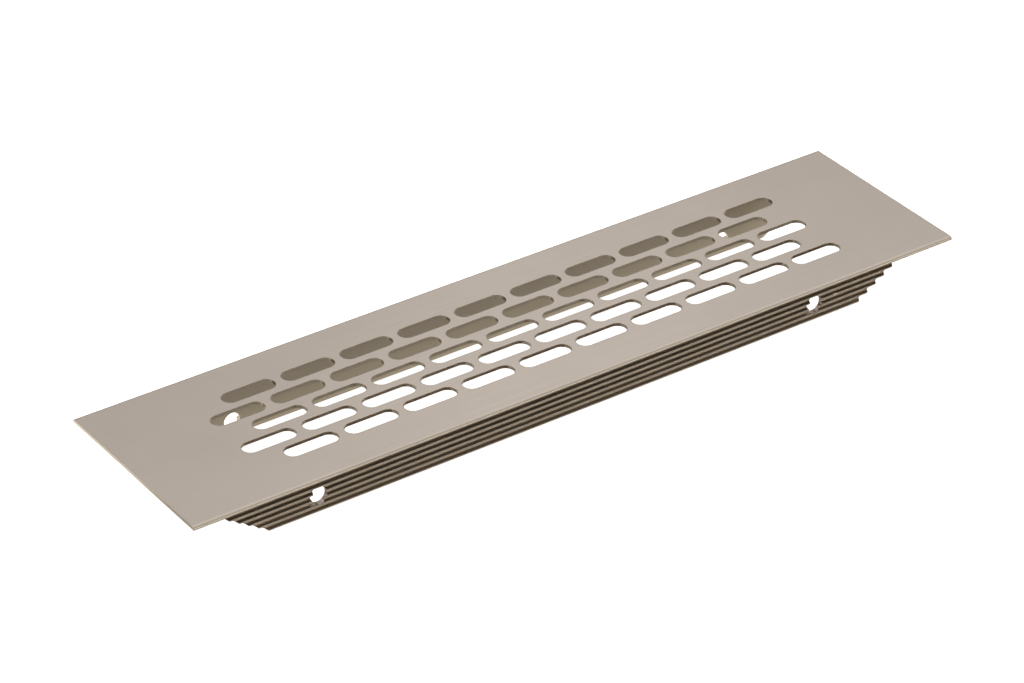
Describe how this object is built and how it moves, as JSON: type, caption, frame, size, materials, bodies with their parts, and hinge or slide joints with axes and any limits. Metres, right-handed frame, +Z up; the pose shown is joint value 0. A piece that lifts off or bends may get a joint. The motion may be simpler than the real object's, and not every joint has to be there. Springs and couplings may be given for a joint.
{
  "type": "ventilation grille",
  "caption": "Flat slotted ventilation grille plate with rounded long edges and two ribbed flanges underneath that seat it in a panel cut-out.",
  "frame": {"origin": "middle of the rectangle that the feet of the two flanges stand on, below the centre of the face plate", "axes": "+X along the length of the grille, +Y across it, +Z up, out of the slotted face"},
  "size_m": [0.25, 0.06, 0.0162],
  "materials": {
    "anodised_aluminium": "satin anodised, warm grey"
  },
  "bodies": {
    "root": {"grille": "anodised_aluminium"}
  },
  "joints": []
}
